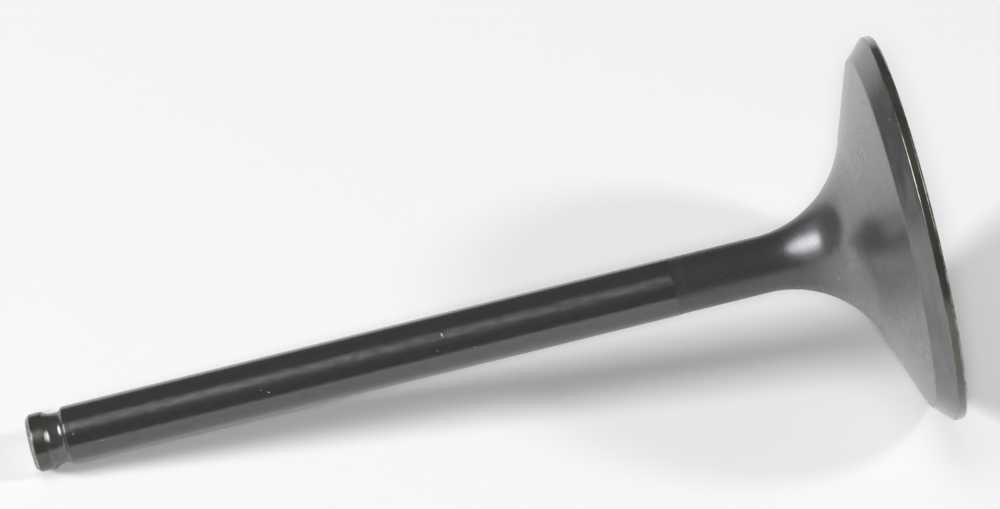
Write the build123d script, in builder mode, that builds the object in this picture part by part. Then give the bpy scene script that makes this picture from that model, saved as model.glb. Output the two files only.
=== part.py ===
"""Engine poppet valve, turned and ground from one forging.

Frame: millimetres, +Z up. The valve stands on its head: the middle of the
combustion face is the origin and the stem runs up the +Z axis.
"""
import math
import os

from build123d import *

os.makedirs("parts", exist_ok=True)

# Overall
overall_length = 108.1
head_diameter = 46.8

# Head, from the combustion face upward
face_chamfer = 0.25
margin_height = 1.1
seat_angle = 45.0
seat_inner_diameter = 42.5
back_cone_angle = 20.0

# Neck and stem
fillet_radius = 13.0
neck_diameter = 6.84
neck_end_height = 29.4
neck_blend_height = 0.6
stem_diameter = 7.0

# Keeper groove, steep on the stem side and sweeping out to the land, and tip
groove_from_tip = 3.3
groove_depth = 0.5
groove_floor_width = 0.27
groove_wall_angle = 45.0
groove_corner_radius = 0.9
groove_sweep_radius = 1.9
land_edge_radius = 0.4
tip_chamfer = 0.5

# Derived sizes
head_radius = head_diameter / 2
seat_inner_radius = seat_inner_diameter / 2
neck_radius = neck_diameter / 2
stem_radius = stem_diameter / 2
seat_radial = head_radius - seat_inner_radius
seat_top = margin_height + seat_radial * math.tan(math.radians(seat_angle))

# The fillet arc touches both the neck wall and the back cone
cone = math.radians(90 - back_cone_angle)
fillet_height = (
    seat_top
    + (fillet_radius * (1 - math.cos(cone)) + (seat_inner_radius - neck_radius) * math.cos(cone))
    / math.sin(cone)
)
cone_end_radius = neck_radius + fillet_radius * (1 - math.cos(cone))
cone_end_height = fillet_height - fillet_radius * math.sin(cone)
half_cone = cone / 2
fillet_mid_radius = neck_radius + fillet_radius * (1 - math.cos(half_cone))
fillet_mid_height = fillet_height - fillet_radius * math.sin(half_cone)

# Groove wall and the corner arc at its foot
floor_end_height = overall_length - groove_from_tip
floor_start_height = floor_end_height - groove_floor_width
floor_radius = stem_radius - groove_depth
wall = math.radians(groove_wall_angle)
half_wall = wall / 2
wall_foot_radius = floor_radius + groove_corner_radius * (1 - math.cos(wall))
wall_foot_height = floor_start_height - groove_corner_radius * math.sin(wall)
corner_mid_radius = floor_radius + groove_corner_radius * (1 - math.cos(half_wall))
corner_mid_height = floor_start_height - groove_corner_radius * math.sin(half_wall)
wall_top_height = wall_foot_height - (stem_radius - wall_foot_radius) / math.tan(wall)

# The groove's floor sweeps out to the land in one large arc
sweep = math.acos(1 - groove_depth / groove_sweep_radius)
half_sweep = sweep / 2
sweep_mid_radius = floor_radius + groove_sweep_radius * (1 - math.cos(half_sweep))
sweep_mid_height = floor_end_height + groove_sweep_radius * math.sin(half_sweep)
land_start_height = floor_end_height + groove_sweep_radius * math.sin(sweep)

# Half section in the XZ plane, drawn as (radius, height)
with BuildPart() as engine_valve:
    with BuildSketch(Plane.XZ) as section:
        with BuildLine():
            Polyline(
                (0, 0),
                (head_radius - face_chamfer, 0),
                (head_radius, face_chamfer),
                (head_radius, margin_height),
                (seat_inner_radius, seat_top),
                (cone_end_radius, cone_end_height),
            )
            ThreePointArc(
                (cone_end_radius, cone_end_height),
                (fillet_mid_radius, fillet_mid_height),
                (neck_radius, fillet_height),
            )
            Polyline(
                (neck_radius, fillet_height),
                (neck_radius, neck_end_height),
                (stem_radius, neck_end_height + neck_blend_height),
                (stem_radius, wall_top_height),
                (wall_foot_radius, wall_foot_height),
            )
            ThreePointArc(
                (wall_foot_radius, wall_foot_height),
                (corner_mid_radius, corner_mid_height),
                (floor_radius, floor_start_height),
            )
            Line((floor_radius, floor_start_height), (floor_radius, floor_end_height))
            ThreePointArc(
                (floor_radius, floor_end_height),
                (sweep_mid_radius, sweep_mid_height),
                (stem_radius, land_start_height),
            )
            Polyline(
                (stem_radius, land_start_height),
                (stem_radius, overall_length - tip_chamfer),
                (stem_radius - tip_chamfer, overall_length),
                (0, overall_length),
                (0, 0),
            )
        make_face()
    revolve(axis=Axis.Z)
    # The land's edge on the groove side is rolled over
    land_edge = engine_valve.edges().filter_by(GeomType.CIRCLE).filter_by(
        lambda edge: abs(edge.center().Z - land_start_height) < 0.01
    )
    fillet(land_edge, radius=land_edge_radius)

engine_valve.part.label = "engine_valve"
export_step(engine_valve.part, "parts/engine_valve.step")
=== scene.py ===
import math

import bmesh
import bpy
from mathutils import Matrix, Vector


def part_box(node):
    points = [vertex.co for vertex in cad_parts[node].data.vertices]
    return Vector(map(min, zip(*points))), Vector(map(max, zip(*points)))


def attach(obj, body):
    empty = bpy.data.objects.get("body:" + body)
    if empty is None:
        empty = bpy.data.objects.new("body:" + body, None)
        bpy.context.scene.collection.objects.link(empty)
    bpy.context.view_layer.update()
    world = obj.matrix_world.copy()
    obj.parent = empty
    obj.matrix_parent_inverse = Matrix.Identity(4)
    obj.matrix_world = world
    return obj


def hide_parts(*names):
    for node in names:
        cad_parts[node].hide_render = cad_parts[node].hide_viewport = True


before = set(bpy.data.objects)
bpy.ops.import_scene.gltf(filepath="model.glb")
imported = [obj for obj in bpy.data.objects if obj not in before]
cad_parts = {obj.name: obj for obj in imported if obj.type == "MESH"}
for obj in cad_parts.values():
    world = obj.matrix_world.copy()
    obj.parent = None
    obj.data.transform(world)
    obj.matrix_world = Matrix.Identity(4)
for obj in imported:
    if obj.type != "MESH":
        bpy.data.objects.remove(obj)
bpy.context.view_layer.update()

mm = 0.001
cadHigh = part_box("engine_valve")[1]
print("frame loaded, valve height", round(cadHigh.z / mm, 1), "mm")


camera = {
    "eye": (8.57 * mm, -593.0 * mm, 57.5 * mm),
    "aim": (8.59 * mm, 0.0, 48.8 * mm),
    "stemLean": 13.795,           # degrees that the stem climbs towards the head across the view
    "lens": 180.0,
    "sensor": 36.0,
    "clip": (0.01, 20.0),
}


def addCamera():
    eye = Vector(camera["eye"])
    look = (Vector(camera["aim"]) - eye).normalized()
    headward = Vector((0, 0, -1))
    headward = (headward - look * headward.dot(look)).normalized()
    right = Matrix.Rotation(math.radians(camera["stemLean"]), 3, look) @ headward
    up = right.cross(look)
    data = bpy.data.cameras.new("camera")
    data.lens = camera["lens"]
    data.sensor_width = camera["sensor"]
    data.clip_start = camera["clip"][0]
    data.clip_end = camera["clip"][1]
    made = bpy.data.objects.new("camera", data)
    made.matrix_world = Matrix.Translation(eye) @ Matrix((right, up, -look)).transposed().to_4x4()
    bpy.context.scene.collection.objects.link(made)
    bpy.context.scene.camera = made


addCamera()
print("camera placed")


valve = {
    "headRadius": cadHigh.x,
    "height": cadHigh.z,
    "faceChamfer": 0.25 * mm,
    "marginHeight": 1.1 * mm,
    "seatInnerRadius": 21.25 * mm,
    "seatTurn": 45.0,             # degrees
    "coneTurn": 70.0,             # degrees between the back cone and the stem
    "filletRadius": 13.0 * mm,
    "neckRadius": 3.42 * mm,
    "neckEnd": 29.4 * mm,
    "neckBlend": 0.6 * mm,
    "stemRadius": 3.5 * mm,
    "grooveFromTip": 3.3 * mm,    # to where the groove's floor starts to sweep out
    "grooveDepth": 0.5 * mm,
    "grooveFloor": 0.27 * mm,
    "wallTurn": 45.0,
    "wallCorner": 0.9 * mm,
    "sweepRadius": 1.9 * mm,
    "landEdge": 0.4 * mm,
    "tipChamfer": 0.5 * mm,
    # how far each corner is rolled
    "faceRoll": 0.05 * mm,
    "rimRoll": 0.06 * mm,
    "marginRoll": 0.07 * mm,
    "seatRoll": 0.12 * mm,
    "neckRoll": 0.2 * mm,
    "wallRoll": 0.09 * mm,
    "landRoll": 0.14 * mm,
    "tipRoll": 0.06 * mm,
    # distance of the support ring on each side of a corner
    "guard": 0.3 * mm,
    "marginGuard": 0.2 * mm,
    "wallGuard": 0.1 * mm,
    "segments": 288,
    "filletSteps": 56,
    "cornerSteps": 14,
    "sweepSteps": 24,
    "rollSteps": 4,
    "mergeGap": 0.0005 * mm,
}


def tulip():
    # heights of the seat's top, the cone's top and the fillet's centre, and how far the fillet flares
    v = valve
    cone = math.radians(v["coneTurn"])
    seatWidth = v["headRadius"] - v["seatInnerRadius"]
    seatTop = v["marginHeight"] + seatWidth * math.tan(math.radians(v["seatTurn"]))
    flare = v["filletRadius"] * (1 - math.cos(cone))
    backWidth = v["seatInnerRadius"] - v["neckRadius"]
    filletHeight = seatTop + (flare + backWidth * math.cos(cone)) / math.sin(cone)
    coneTop = filletHeight - v["filletRadius"] * math.sin(cone)
    return seatTop, coneTop, filletHeight, flare


def wallTop():
    # where the stem ends and the groove's wall starts
    v = valve
    wall = math.radians(v["wallTurn"])
    foot = v["grooveDepth"] - v["wallCorner"] * (1 - math.cos(wall))
    below = v["grooveFromTip"] + v["grooveFloor"] + v["wallCorner"] * math.sin(wall)
    return v["height"] - below - foot / math.tan(wall)


def landStart():
    # where the roll between the groove's sweep and the land ends
    v = valve
    reach = v["sweepRadius"] + v["landEdge"]
    return v["height"] - v["grooveFromTip"] + math.sqrt(reach ** 2 - (reach - v["grooveDepth"]) ** 2)


def runTo(bm, vert, radius, height, guard=valve["guard"]):
    # a straight run of the profile, with a support point near each end
    start, end = vert.co.copy(), Vector((radius, 0, height))
    length = (end - start).length
    stops = [guard / length, 1 - guard / length] if length > 3 * guard else []
    for share in stops + [1]:
        grown = bmesh.ops.extrude_vert_indiv(bm, verts=[vert])["verts"][0]
        bmesh.ops.translate(bm, verts=[grown], vec=start.lerp(end, share) - grown.co)
        vert = grown
    return vert


def arcRound(bm, vert, radius, height, turn, steps):
    # an arc of the profile round a centre, by degrees about +Y
    made = bmesh.ops.spin(bm, geom=[vert], cent=(radius, 0, height), axis=(0, 1, 0),
                          angle=math.radians(turn), steps=steps, use_duplicate=False)
    return next(item for item in made["geom_last"] if isinstance(item, bmesh.types.BMVert))


def halfSection(bm):
    # the outline from the middle of the face to the middle of the tip; returns the corners to roll
    v = valve
    seatTop, coneTop, filletHeight, flare = tulip()
    filletMiddle = v["neckRadius"] + v["filletRadius"]
    wall = math.radians(v["wallTurn"])
    floorRadius = v["stemRadius"] - v["grooveDepth"]
    floorEnd = v["height"] - v["grooveFromTip"]
    floorStart = floorEnd - v["grooveFloor"]
    wallFoot = floorRadius + v["wallCorner"] * (1 - math.cos(wall))
    sweep = math.degrees(math.acos(1 - v["grooveDepth"] / (v["sweepRadius"] + v["landEdge"])))

    corners = []
    here = bm.verts.new((0, 0, 0))
    here = runTo(bm, here, v["headRadius"] - v["faceChamfer"], 0)
    corners.append((here, v["faceRoll"]))
    here = runTo(bm, here, v["headRadius"], v["faceChamfer"])
    corners.append((here, v["rimRoll"]))
    here = runTo(bm, here, v["headRadius"], v["marginHeight"], v["marginGuard"])
    corners.append((here, v["marginRoll"]))
    here = runTo(bm, here, v["seatInnerRadius"], seatTop)
    corners.append((here, v["seatRoll"]))
    here = runTo(bm, here, v["neckRadius"] + flare, coneTop)
    here = arcRound(bm, here, filletMiddle, filletHeight, v["coneTurn"], v["filletSteps"])
    here = runTo(bm, here, v["neckRadius"], v["neckEnd"])
    corners.append((here, v["neckRoll"]))
    here = runTo(bm, here, v["stemRadius"], v["neckEnd"] + v["neckBlend"])
    corners.append((here, v["neckRoll"]))
    here = runTo(bm, here, v["stemRadius"], wallTop())
    corners.append((here, v["wallRoll"]))
    here = runTo(bm, here, wallFoot, floorStart - v["wallCorner"] * math.sin(wall), v["wallGuard"])
    here = arcRound(bm, here, floorRadius + v["wallCorner"], floorStart, v["wallTurn"], v["cornerSteps"])
    here = runTo(bm, here, floorRadius, floorEnd)
    here = arcRound(bm, here, floorRadius + v["sweepRadius"], floorEnd, sweep, v["sweepSteps"])
    here = arcRound(bm, here, v["stemRadius"] - v["landEdge"], landStart(), -sweep, v["cornerSteps"])
    here = runTo(bm, here, v["stemRadius"], v["height"] - v["tipChamfer"])
    corners.append((here, v["landRoll"]))
    here = runTo(bm, here, v["stemRadius"] - v["tipChamfer"], v["height"])
    corners.append((here, v["tipRoll"]))
    runTo(bm, here, 0, v["height"])
    return corners


def addValve():
    bm = bmesh.new()
    for corner, size in halfSection(bm):
        bmesh.ops.bevel(bm, geom=[corner], offset=size, offset_type="OFFSET", segments=valve["rollSteps"],
                        profile=0.5, affect="VERTICES", material=-1)
    bmesh.ops.spin(bm, geom=bm.verts[:] + bm.edges[:], cent=(0, 0, 0), axis=(0, 0, 1),
                   angle=math.tau, steps=valve["segments"], use_merge=True)
    bmesh.ops.remove_doubles(bm, verts=bm.verts, dist=valve["mergeGap"])
    bmesh.ops.recalc_face_normals(bm, faces=bm.faces)
    for face in bm.faces:
        face.smooth = True
    mesh = bpy.data.meshes.new("valveBody")
    bm.to_mesh(mesh)
    bm.free()
    made = bpy.data.objects.new("valveBody", mesh)
    bpy.context.scene.collection.objects.link(made)
    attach(made, "root")
    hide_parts("engine_valve")
    return made


valveBody = addValve()
print("valve turned,", len(valveBody.data.polygons), "faces")


def addNode(tree, kind, inputs=None, **settings):
    # an input is linked if it is a socket, and set if it is a value
    made = tree.nodes.new(kind)
    for name, value in settings.items():
        setattr(made, name, value)
    for name, value in (inputs or {}).items():
        if isinstance(value, bpy.types.NodeSocket):
            tree.links.new(value, made.inputs[name])
        else:
            made.inputs[name].default_value = value
    return made


def maths(tree, operation, first, second=0.0):
    return addNode(tree, "ShaderNodeMath", {0: first, 1: second}, operation=operation).outputs["Value"]


def scaled(tree, vector, scale):
    inputs = {0: vector, "Scale": scale}
    return addNode(tree, "ShaderNodeVectorMath", inputs, operation="SCALE").outputs["Vector"]


def lengthOf(tree, vector):
    return addNode(tree, "ShaderNodeVectorMath", {0: vector}, operation="LENGTH").outputs["Value"]


def spread(tree, value, low, high, toLow=0.0, toHigh=1.0, smooth=False):
    kind = "SMOOTHSTEP" if smooth else "LINEAR"
    inputs = {"Value": value, "From Min": low, "From Max": high, "To Min": toLow, "To Max": toHigh}
    return addNode(tree, "ShaderNodeMapRange", inputs, interpolation_type=kind).outputs["Result"]


def blended(tree, share, first, second):
    # the colour sockets of a Mix node are numbers 6 and 7, and their result is number 2
    inputs = {0: share, 6: first, 7: second}
    return addNode(tree, "ShaderNodeMix", inputs, data_type="RGBA", clamp_factor=True).outputs[2]


def placeOn(tree):
    # millimetres, the way round the axis as a unit circle, and the way along the outline from stem to rim
    inMm = scaled(tree, tree.nodes.new("ShaderNodeTexCoord").outputs["Object"], 1 / mm)
    split = addNode(tree, "ShaderNodeSeparateXYZ", {"Vector": inMm})
    x, y, z = split.outputs["X"], split.outputs["Y"], split.outputs["Z"]
    squared = maths(tree, "ADD", maths(tree, "MULTIPLY", x, x), maths(tree, "MULTIPLY", y, y))
    radius = maths(tree, "SQRT", squared)
    safe = maths(tree, "MAXIMUM", radius, 0.01)      # no division by zero in the middle of the face
    return {
        "mm": inMm,
        "x": maths(tree, "DIVIDE", x, safe),
        "y": maths(tree, "DIVIDE", y, safe),
        "radius": radius,
        "along": maths(tree, "SUBTRACT", radius, z),
    }


def clouds(tree, place, look):
    # noise, either even by its scale, or drawn out by how fast it changes around and along the outline
    vector = place["mm"]
    if "around" in look:
        inputs = {
            "X": maths(tree, "MULTIPLY", place["x"], look["around"]),
            "Y": maths(tree, "MULTIPLY", place["y"], look["around"]),
            "Z": maths(tree, "MULTIPLY", place["along"], look["along"]),
        }
        vector = addNode(tree, "ShaderNodeCombineXYZ", inputs).outputs["Vector"]
    inputs = {
        "Vector": vector,
        "Scale": look.get("scale", 1.0),
        "Detail": look["detail"],
        "Roughness": look["rough"],
    }
    return addNode(tree, "ShaderNodeTexNoise", inputs).outputs["Fac"]


def bumped(tree, height, depth, under=None):
    inputs = {"Height": height, "Distance": depth * mm, "Strength": 1.0}
    if under:
        inputs["Normal"] = under
    return addNode(tree, "ShaderNodeBump", inputs).outputs["Normal"]


wear = {
    "nickCore": 0.4,              # share of a nick's size where it is full, before it fades to its edge
    "scratchCore": 0.3,
    "scratchReach": 0.4,          # millimetres that a scratch reaches above and below the surface
}


def specks(tree, place, perMm, size, rarity):
    # small nicks: a dot in some of the cells
    cells = addNode(tree, "ShaderNodeTexVoronoi", {"Vector": place["mm"], "Scale": perMm})
    dot = spread(tree, cells.outputs["Distance"], size * perMm, wear["nickCore"] * size * perMm)
    picked = addNode(tree, "ShaderNodeSeparateColor", {"Color": cells.outputs["Color"]}).outputs["Red"]
    return maths(tree, "MULTIPLY", dot, maths(tree, "GREATER_THAN", picked, rarity))


def outlineAt(height):
    # radius of the outline at a height, and by how many degrees it leans outwards on its way up
    v = valve
    seatTop, coneTop, filletHeight, flare = tulip()
    if height > v["neckEnd"]:
        return v["stemRadius"], 0.0
    if height > filletHeight:
        return v["neckRadius"], 0.0
    if height > coneTop:
        turn = math.asin((filletHeight - height) / v["filletRadius"])
        return v["neckRadius"] + v["filletRadius"] * (1 - math.cos(turn)), -math.degrees(turn)
    if height > seatTop:
        below = (coneTop - height) * math.tan(math.radians(v["coneTurn"]))
        return v["neckRadius"] + flare + below, -v["coneTurn"]
    inwards = (height - v["marginHeight"]) / math.tan(math.radians(v["seatTurn"]))
    return v["headRadius"] - inwards, -v["seatTurn"]


def scratch(tree, place, height, turn, length, slant, width):
    # a thin ellipsoid lying in the surface, at degrees round from the near side
    radius, lean = outlineAt(height * mm)
    turn, lean, slant = math.radians(turn), math.radians(lean), math.radians(slant)
    outwards = Vector((math.sin(turn), -math.cos(turn), 0))
    up = (Vector((0, 0, 1)) * math.cos(lean) + outwards * math.sin(lean)).normalized()
    across = Vector((math.cos(turn), math.sin(turn), 0))
    run = up * math.cos(slant) + across * math.sin(slant)
    side = across * math.cos(slant) - up * math.sin(slant)
    inputs = {
        "Vector": place["mm"],
        "Location": outwards * radius / mm + Vector((0, 0, height)),
        "Rotation": Matrix((run, side, run.cross(side))).transposed().to_euler(),
        "Scale": (length / 2, width / 2, wear["scratchReach"]),
    }
    local = addNode(tree, "ShaderNodeMapping", inputs, vector_type="TEXTURE").outputs["Vector"]
    return spread(tree, lengthOf(tree, local), 1.0, wear["scratchCore"])


def wornSpots(tree, place, finish):
    # 1 on a nick or a scratch, 0 elsewhere
    total = specks(tree, place, **finish["nicks"])
    for row in finish["scratches"]:
        total = maths(tree, "MAXIMUM", total, scratch(tree, place, *row, finish["scratchWidth"]))
    return total


def newFinish(name, finish):
    material = bpy.data.materials.new(name)
    material.use_nodes = True
    tree = material.node_tree
    shader = tree.nodes["Principled BSDF"]
    shader.inputs["Metallic"].default_value = finish["metallic"]
    shader.inputs["Coat Weight"].default_value = finish.get("film", 0.0)
    shader.inputs["Coat Roughness"].default_value = finish.get("filmRoughness", 0.3)
    if "grain" in finish:
        shader.inputs["Anisotropic"].default_value = finish["grain"]
        shader.inputs["Anisotropic Rotation"].default_value = finish.get("grainTurn", 0.0)
        tangent = addNode(tree, "ShaderNodeTangent", direction_type="RADIAL", axis="Z")
        tree.links.new(tangent.outputs["Tangent"], shader.inputs["Tangent"])
    return material, tree, shader


def mottle(tree, shader, finish, patches):
    # roughness follows the patches, and so does the colour that is returned
    roughness = spread(tree, patches, *finish["roughSpan"], *finish["roughness"])
    tree.links.new(roughness, shader.inputs["Roughness"])
    return blended(tree, spread(tree, patches, *finish["colourSpan"]), finish["dark"], finish["light"])


def connect(tree, shader, colour, normal):
    tree.links.new(colour, shader.inputs["Base Color"])
    tree.links.new(normal, shader.inputs["Normal"])


groundStem = {
    "dark": (0.100, 0.100, 0.103, 1),
    "light": (0.120, 0.119, 0.120, 1),
    "metallic": 0.82,
    "roughness": (0.195, 0.255),
    "film": 0.5,                  # thin oxide, brightest at a glancing look
    "filmRoughness": 0.24,
    "grain": 0.95,                # round the stem, so that light spreads along it
    "grainTurn": 0.25,
    "flecks": {"around": 7.0, "along": 0.8, "detail": 4.0, "rough": 0.62},
    "colourSpan": (0.35, 0.65),
    "roughSpan": (0.35, 0.65),
    "speckle": {"scale": 2.6, "detail": 4.0, "rough": 0.6},
    "speckleDepth": 0.010,        # depths are in millimetres
    "rings": {"around": 1.5, "along": 14.0, "detail": 2.0, "rough": 0.55},
    "ringDepth": 0.0015,
    "nick": (0.5, 0.5, 0.5, 1),
    "nicks": {"perMm": 0.45, "size": 0.09, "rarity": 0.8},
    "nickDepth": 0.02,
    "scratchWidth": 0.11,
    # height in millimetres, degrees round from the near side, length, slant from the stem's direction
    "scratches": (
        (101.6, 10.5, 0.7, 60), (102.7, 1.4, 0.4, 90), (99.6, -25.9, 0.7, 30), (79.2, -11.5, 0.5, 40),
        (71.3, 19.8, 0.2, 0), (69.1, 16.2, 1.1, -14), (67.2, -40.5, 0.2, 0), (57.8, 16.6, 0.75, 72),
        (58.7, -11.5, 0.3, 20), (54.3, -23.2, 0.45, 30),
    ),
}


def groundStemFinish():
    finish = groundStem
    material, tree, shader = newFinish("groundStem", finish)
    place = placeOn(tree)
    worn = wornSpots(tree, place, finish)
    colour = mottle(tree, shader, finish, clouds(tree, place, finish["flecks"]))
    normal = bumped(tree, clouds(tree, place, finish["speckle"]), finish["speckleDepth"])
    normal = bumped(tree, clouds(tree, place, finish["rings"]), finish["ringDepth"], normal)
    normal = bumped(tree, worn, -finish["nickDepth"], normal)
    connect(tree, shader, blended(tree, worn, colour, finish["nick"]), normal)
    return material


satinTulip = {
    "neck": (0.098, 0.099, 0.104, 1),
    "cone": (0.216, 0.215, 0.220, 1),
    "coneFrom": (3.8, 8.0),       # millimetres from the axis, dark neck to lighter cone
    "tintSpan": (0.7, 1.3),
    "tint": (0.88, 1.12),
    "metallic": 0.75,
    "coneMetallic": 0.9,
    "patches": {"scale": 0.22, "detail": 3.0, "rough": 0.55},
    "roughSpan": (0.3, 0.7),
    "neckRoughness": (0.24, 0.29),
    "coneRoughness": (0.19, 0.23),
    "film": 0.5,
    "filmRoughness": 0.32,
    "grain": 0.87,                # along the stem, so that light spreads round it
    "streaks": {"around": 9.0, "along": 0.35, "detail": 2.0, "rough": 0.55},
    "streakDepth": 0.010,
    "fine": {"around": 18.0, "along": 0.5, "detail": 2.0, "rough": 0.6},
    "fineDepth": 0.002,
    "rings": {"around": 0.8, "along": 1.1, "detail": 2.0, "rough": 0.6},
    "ringDepth": 0.003,
    "nick": (0.5, 0.5, 0.5, 1),
    "nicks": {"perMm": 0.35, "size": 0.11, "rarity": 0.82},
    "nickDepth": 0.02,
    "scratchWidth": 0.11,
    "scratches": (
        (7.96, 7.3, 0.9, 20), (10.8, -36.4, 0.5, 10), (5.6, -16.5, 0.6, -30), (13.2, 14.0, 0.8, 20),
    ),
}


def satinTulipFinish():
    # it changes with the distance from the axis, and its colour is tinted by the fine lines and rings
    finish = satinTulip
    material, tree, shader = newFinish("satinTulip", finish)
    place = placeOn(tree)
    fine = clouds(tree, place, finish["fine"])
    rings = clouds(tree, place, finish["rings"])
    patches = clouds(tree, place, finish["patches"])
    worn = wornSpots(tree, place, finish)
    outwards = spread(tree, place["radius"], *finish["coneFrom"], smooth=True)
    metallic = spread(tree, outwards, 0.0, 1.0, finish["metallic"], finish["coneMetallic"])
    tree.links.new(metallic, shader.inputs["Metallic"])
    onNeck = spread(tree, patches, *finish["roughSpan"], *finish["neckRoughness"])
    onCone = spread(tree, patches, *finish["roughSpan"], *finish["coneRoughness"])
    tree.links.new(spread(tree, outwards, 0.0, 1.0, onNeck, onCone), shader.inputs["Roughness"])
    tint = spread(tree, maths(tree, "ADD", fine, rings), *finish["tintSpan"], *finish["tint"])
    colour = scaled(tree, blended(tree, outwards, finish["neck"], finish["cone"]), tint)
    normal = bumped(tree, clouds(tree, place, finish["streaks"]), finish["streakDepth"])
    normal = bumped(tree, fine, finish["fineDepth"], normal)
    normal = bumped(tree, rings, finish["ringDepth"], normal)
    normal = bumped(tree, worn, -finish["nickDepth"], normal)
    connect(tree, shader, blended(tree, worn, colour, finish["nick"]), normal)
    return material


groundSeat = {
    "dark": (0.168, 0.166, 0.166, 1),
    "light": (0.216, 0.214, 0.214, 1),
    "metallic": 0.85,
    "roughness": (0.16, 0.24),
    "grain": 0.6,
    "grainTurn": 0.25,
    "patches": {"around": 5.0, "along": 0.6, "detail": 3.0, "rough": 0.55},
    "colourSpan": (0.3, 0.7),
    "roughSpan": (0.3, 0.7),
    "waves": {"scale": 0.45, "detail": 3.0, "rough": 0.55},
    "waveDepth": 0.02,
    "rings": {"around": 3.0, "along": 16.0, "detail": 3.0, "rough": 0.6},
    "ringDepth": 0.0012,
    "nick": (0.6, 0.6, 0.6, 1),
    "nicks": {"perMm": 0.6, "size": 0.08, "rarity": 0.85},
    "nickDepth": 0.02,
    "scratchWidth": 0.12,
    "scratches": ((2.6, -36.9, 0.16, 0), (2.0, -48.0, 0.4, 80), (1.9, 35.0, 0.3, 60)),
}


def groundSeatFinish():
    finish = groundSeat
    material, tree, shader = newFinish("groundSeat", finish)
    place = placeOn(tree)
    worn = wornSpots(tree, place, finish)
    colour = mottle(tree, shader, finish, clouds(tree, place, finish["patches"]))
    normal = bumped(tree, clouds(tree, place, finish["waves"]), finish["waveDepth"])
    normal = bumped(tree, clouds(tree, place, finish["rings"]), finish["ringDepth"], normal)
    normal = bumped(tree, worn, -finish["nickDepth"], normal)
    connect(tree, shader, blended(tree, worn, colour, finish["nick"]), normal)
    return material


bluedMargin = {
    "dark": (0.092, 0.087, 0.075, 1),
    "light": (0.145, 0.134, 0.110, 1),
    "metallic": 0.8,
    "roughness": (0.14, 0.26),
    "film": 0.6,
    "filmRoughness": 0.2,
    "patches": {"around": 8.0, "along": 0.8, "detail": 3.0, "rough": 0.55},
    "colourSpan": (0.35, 0.7),
    "roughSpan": (0.3, 0.7),
    "rings": {"around": 2.0, "along": 9.0, "detail": 3.0, "rough": 0.6},
    "ringDepth": 0.002,
}


def bluedMarginFinish():
    finish = bluedMargin
    material, tree, shader = newFinish("bluedMargin", finish)
    place = placeOn(tree)
    colour = mottle(tree, shader, finish, clouds(tree, place, finish["patches"]))
    rings = clouds(tree, place, finish["rings"])
    connect(tree, shader, colour, bumped(tree, rings, finish["ringDepth"]))
    return material


turnedFace = {
    "dark": (0.14, 0.138, 0.135, 1),
    "light": (0.20, 0.197, 0.19, 1),
    "metallic": 0.8,
    "roughness": (0.28, 0.40),
    "patches": {"scale": 0.25, "detail": 4.0, "rough": 0.6},
    "colourSpan": (0.3, 0.7),
    "roughSpan": (0.3, 0.7),
    "pitch": 0.35,                # millimetres between the tool's rings
    "ringDepth": 0.004,
}


def turnedFaceFinish():
    finish = turnedFace
    material, tree, shader = newFinish("turnedFace", finish)
    place = placeOn(tree)
    colour = mottle(tree, shader, finish, clouds(tree, place, finish["patches"]))
    rings = maths(tree, "SINE", maths(tree, "MULTIPLY", place["radius"], math.tau / finish["pitch"]))
    connect(tree, shader, colour, bumped(tree, rings, finish["ringDepth"]))
    return material


wornEdge = {
    "dark": (0.15, 0.145, 0.13, 1),
    "light": (0.34, 0.33, 0.30, 1),
    "metallic": 0.9,
    "roughness": (0.24, 0.34),
    "patches": {"around": 14.0, "along": 3.0, "detail": 4.0, "rough": 0.65},
    "colourSpan": (0.4, 0.6),
    "roughSpan": (0.3, 0.7),
    "patchDepth": 0.01,
}
polishedGroove = {
    "dark": (0.130, 0.128, 0.128, 1),
    "light": (0.18, 0.176, 0.17, 1),
    "metallic": 0.8,
    "roughness": (0.18, 0.24),
    "patches": {"scale": 1.6, "detail": 4.0, "rough": 0.6},
    "colourSpan": (0.35, 0.7),
    "roughSpan": (0.3, 0.7),
    "patchDepth": 0.012,
}
warmLand = {
    "dark": (0.108, 0.103, 0.092, 1),
    "light": (0.150, 0.142, 0.124, 1),
    "metallic": 0.8,
    "roughness": (0.22, 0.27),
    "grain": 0.9,
    "grainTurn": 0.25,
    "patches": {"scale": 1.3, "detail": 4.0, "rough": 0.65},
    "colourSpan": (0.35, 0.7),
    "roughSpan": (0.3, 0.7),
    "patchDepth": 0.006,
}
wornTip = {
    "dark": (0.16, 0.155, 0.145, 1),
    "light": (0.36, 0.35, 0.32, 1),
    "metallic": 0.6,
    "roughness": (0.28, 0.42),
    "patches": {"scale": 2.2, "detail": 5.0, "rough": 0.65},
    "colourSpan": (0.35, 0.62),
    "roughSpan": (0.3, 0.7),
    "patchDepth": 0.02,
}


def patchyFinish(name, finish):
    # colour, roughness and bumps all follow one pattern
    material, tree, shader = newFinish(name, finish)
    patches = clouds(tree, placeOn(tree), finish["patches"])
    colour = mottle(tree, shader, finish, patches)
    connect(tree, shader, colour, bumped(tree, patches, finish["patchDepth"]))
    return material


bandShift = {                     # from a corner of the outline to where the finish changes
    "face": 0.01 * mm,
    "rim": 0.03 * mm,
    "margin": -0.05 * mm,
    "seat": 0.04 * mm,
    "land": -0.1 * mm,
    "tip": -0.02 * mm,
}


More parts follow.
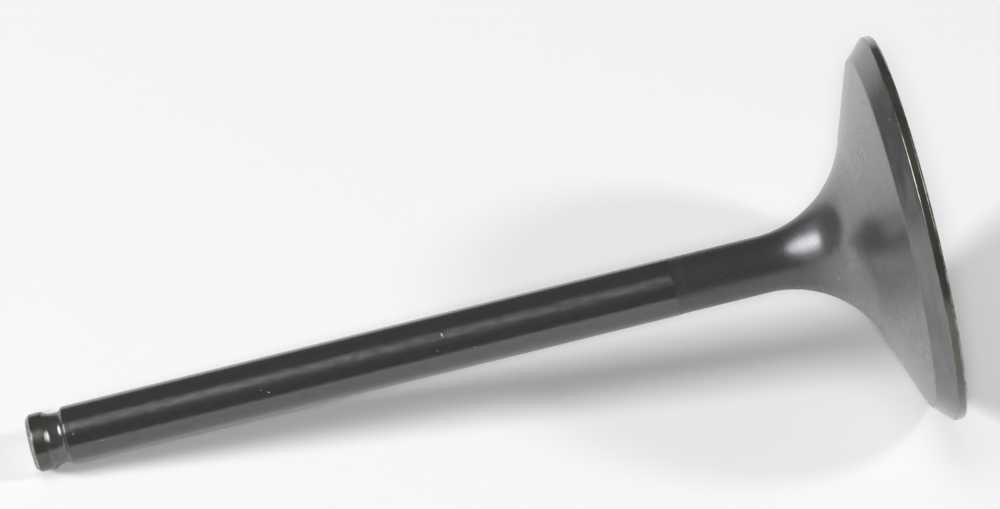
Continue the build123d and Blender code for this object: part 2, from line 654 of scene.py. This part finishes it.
def addFinishes(body):
    # each band of the outline has its own finish, listed with the height where it ends
    v = valve
    bands = (
        (bandShift["face"], turnedFaceFinish()),
        (v["faceChamfer"] + bandShift["rim"], patchyFinish("wornEdge", wornEdge)),
        (v["marginHeight"] + bandShift["margin"], bluedMarginFinish()),
        (v["marginHeight"] + bandShift["seat"], patchyFinish("wornEdge", wornEdge)),
        (tulip()[0], groundSeatFinish()),
        (v["neckEnd"] + v["neckBlend"] / 2, satinTulipFinish()),
        (wallTop(), groundStemFinish()),
        (landStart() + bandShift["land"], patchyFinish("polishedGroove", polishedGroove)),
        (v["height"] - v["tipChamfer"] + bandShift["tip"], patchyFinish("warmLand", warmLand)),
        (math.inf, patchyFinish("wornTip", wornTip)),
    )
    for top, material in bands:
        body.data.materials.append(material)
    for face in body.data.polygons:
        face.material_index = next(index for index, band in enumerate(bands) if face.center.z < band[0])


addFinishes(valveBody)
print("finishes made")


stage = {
    "facingTurn": 40.0,           # degrees round the stem, from the near side, to where the back sheet faces
    "sheetSpan": 0.9,
    "sheetMiddle": 0.05,          # metres up the stem
    "paper": (0.92, 0.92, 0.93, 1),
    "sheetFade": (0.15, 0.45),    # metres from its middle where the back sheet fades out
    "floorFade": (0.10, 0.40),
    "floorEdge": (-0.012, 0.0),   # how softly the floor starts behind the back sheet
    "floorGap": 0.01 * mm,
}


def outward(turn, rise=0.0):
    # a direction by degrees round the stem from the near side, and degrees up towards the tip
    turn, rise = math.radians(turn), math.radians(rise)
    return Vector((math.sin(turn) * math.cos(rise), -math.cos(turn) * math.cos(rise), math.sin(rise)))


# the valve leans on the back sheet with its rim and its tip
leanRise = valve["height"] - valve["tipChamfer"] - valve["faceChamfer"]
leanAngle = math.atan((valve["headRadius"] - valve["stemRadius"]) / leanRise)
facing = outward(stage["facingTurn"])
sheetNormal = (facing * math.cos(leanAngle) - Vector((0, 0, 1)) * math.sin(leanAngle)).normalized()
sheetTouch = -facing * valve["headRadius"] + Vector((0, 0, valve["faceChamfer"]))


def addSheet(name, material, place):
    bm = bmesh.new()
    bmesh.ops.create_grid(bm, x_segments=1, y_segments=1, size=stage["sheetSpan"])
    mesh = bpy.data.meshes.new(name)
    bm.to_mesh(mesh)
    bm.free()
    made = bpy.data.objects.new(name, mesh)
    made.matrix_world = place
    bpy.context.scene.collection.objects.link(made)
    made.data.materials.append(material)
    made.visible_shadow = False
    made.visible_diffuse = False
    return made


def sheetMaterial(name, fadeSpan, edgeSpan=None):
    # paper that fades out away from its middle, and is clear from behind
    material = bpy.data.materials.new(name)
    material.use_nodes = True
    tree = material.node_tree
    tree.nodes.clear()
    place = tree.nodes.new("ShaderNodeTexCoord").outputs["Object"]
    behind = tree.nodes.new("ShaderNodeNewGeometry").outputs["Backfacing"]
    faded = spread(tree, lengthOf(tree, place), *fadeSpan, smooth=True)
    clearness = maths(tree, "MAXIMUM", faded, behind)
    if edgeSpan:
        across = addNode(tree, "ShaderNodeSeparateXYZ", {"Vector": place}).outputs["X"]
        clearness = maths(tree, "MAXIMUM", clearness, spread(tree, across, *edgeSpan, smooth=True))
    matte = addNode(tree, "ShaderNodeBsdfDiffuse", {"Color": stage["paper"]}).outputs["BSDF"]
    clear = tree.nodes.new("ShaderNodeBsdfTransparent").outputs["BSDF"]
    mixed = addNode(tree, "ShaderNodeMixShader", {0: clearness, 1: matte, 2: clear}).outputs["Shader"]
    addNode(tree, "ShaderNodeOutputMaterial", {"Surface": mixed})
    return material


def addStage():
    outwards = facing.to_track_quat("X", "Z").to_matrix().to_4x4()
    below = Vector((0, 0, stage["floorGap"]))
    behind = Matrix.Translation(-facing * valve["headRadius"] - below) @ outwards
    floorPaper = sheetMaterial("floorPaper", stage["floorFade"], stage["floorEdge"])
    floorSheet = addSheet("floorSheet", floorPaper, behind)
    floorSheet.visible_glossy = False
    turned = sheetNormal.to_track_quat("Z", "Y").to_matrix().to_4x4()
    middle = sheetTouch + (Vector((0, 0, 1)) - sheetNormal * sheetNormal.z) * stage["sheetMiddle"]
    addSheet("backSheet", sheetMaterial("backPaper", stage["sheetFade"]), Matrix.Translation(middle) @ turned)


addStage()
print("stage set")


lamps = {
    # turn and rise in degrees, width across in degrees, share of the sheet's tone
    "paper": {
        "keyLamp": {"turn": 33.4, "rise": 3.0, "width": 22.0, "share": 0.135},
        "nearLamp": {"turn": 0.8, "rise": 4.1, "width": 7.0, "share": 0.29},
        "tipLamp": {"turn": 32.0, "rise": 53.7, "width": 15.0, "share": 0.318},
        "headLamp": {"turn": 19.1, "rise": -54.9, "width": 9.0, "share": 0.125},
    },
    # straight above the floor
    "floor": {"turn": 0.0, "rise": 90.0, "width": 30.0, "share": 0.20},
    # seen only in the metal, with a height along the stem and their own brightness
    "metal": {
        "tipGleam": {"turn": 36.0, "rise": 39.0, "width": 36.0, "height": 37.0, "gleam": 8.2},
        "headGleam": {"turn": 23.0, "rise": -54.0, "width": 32.0, "height": 24.0, "gleam": 7.4},
    },
    "distance": 2.4,
    "gleamDistance": 2.15,        # nearer, so that no paper lamp hides a metal lamp
}


def lampSpan(degrees, distance):
    return 2 * distance * math.tan(math.radians(degrees / 2))


def addLamp(name, lamp, distance, power, glossy=False):
    middle = Vector((0, 0, valve["height"] / 2))
    direction = outward(lamp["turn"], lamp["rise"])
    data = bpy.data.lights.new(name, "AREA")
    data.shape = "ELLIPSE"
    data.size = lampSpan(lamp["width"], distance)
    data.size_y = lampSpan(lamp.get("height", lamp["width"]), distance)
    data.energy = power
    made = bpy.data.objects.new(name, data)
    turned = direction.to_track_quat("Z", "Y").to_matrix().to_4x4()    # its height runs along the stem
    made.matrix_world = Matrix.Translation(middle + direction * distance) @ turned
    made.visible_glossy = glossy
    made.visible_diffuse = not glossy
    bpy.context.scene.collection.objects.link(made)


def addLight():
    # a paper lamp gives the sheet its share of tone, a metal lamp shows at its own brightness
    distance = lamps["distance"]
    fullTone = (math.pi * distance) ** 2 / stage["paper"][0]
    for name, lamp in lamps["paper"].items():
        tilt = outward(lamp["turn"], lamp["rise"]).dot(sheetNormal)
        addLamp(name, lamp, distance, lamp["share"] * fullTone / tilt)
    addLamp("floorLamp", lamps["floor"], distance, lamps["floor"]["share"] * fullTone)
    distance = lamps["gleamDistance"]
    for name, lamp in lamps["metal"].items():
        area = math.pi / 4 * lampSpan(lamp["width"], distance) * lampSpan(lamp["height"], distance)
        addLamp(name, lamp, distance, lamp["gleam"] * math.pi * area, True)


room = {
    "air": (1, 1, 1, 1),
    "pale": 0.925,
    "dark": 0.165,
    "ambient": 0.07,
    "horizon": (-5.0, -1.0),      # degrees where a reflection turns from pale to dark
    "horizonTurn": 47.7,          # the level it is measured from, tipped a little from the back sheet
    "horizonRise": -7.6,
}


def addWorld():
    # the camera sees a pale room, the metal sees a pale side and a dark side, and the rest a weak fill
    world = bpy.data.worlds.new("studio")
    bpy.context.scene.world = world
    world.use_nodes = True
    tree = world.node_tree
    tree.nodes.clear()
    way = tree.nodes.new("ShaderNodeTexCoord").outputs["Generated"]
    inputs = {0: way, 1: outward(room["horizonTurn"], room["horizonRise"])}
    level = addNode(tree, "ShaderNodeVectorMath", inputs, operation="DOT_PRODUCT").outputs["Value"]
    low, high = (math.sin(math.radians(degrees)) for degrees in room["horizon"])
    walls = spread(tree, level, low, high, room["pale"], room["dark"], smooth=True)
    ray = tree.nodes.new("ShaderNodeLightPath").outputs
    inputs = {"Factor": ray["Is Glossy Ray"], "A": room["ambient"], "B": walls}
    lit = addNode(tree, "ShaderNodeMix", inputs).outputs["Result"]
    inputs = {"Factor": ray["Is Camera Ray"], "A": lit, "B": room["pale"]}
    strength = addNode(tree, "ShaderNodeMix", inputs).outputs["Result"]
    background = addNode(tree, "ShaderNodeBackground", {"Color": room["air"], "Strength": strength})
    addNode(tree, "ShaderNodeOutputWorld", {"Surface": background.outputs["Background"]})


addLight()
addWorld()
bpy.context.scene.view_settings.view_transform = "Standard"
print("light set")
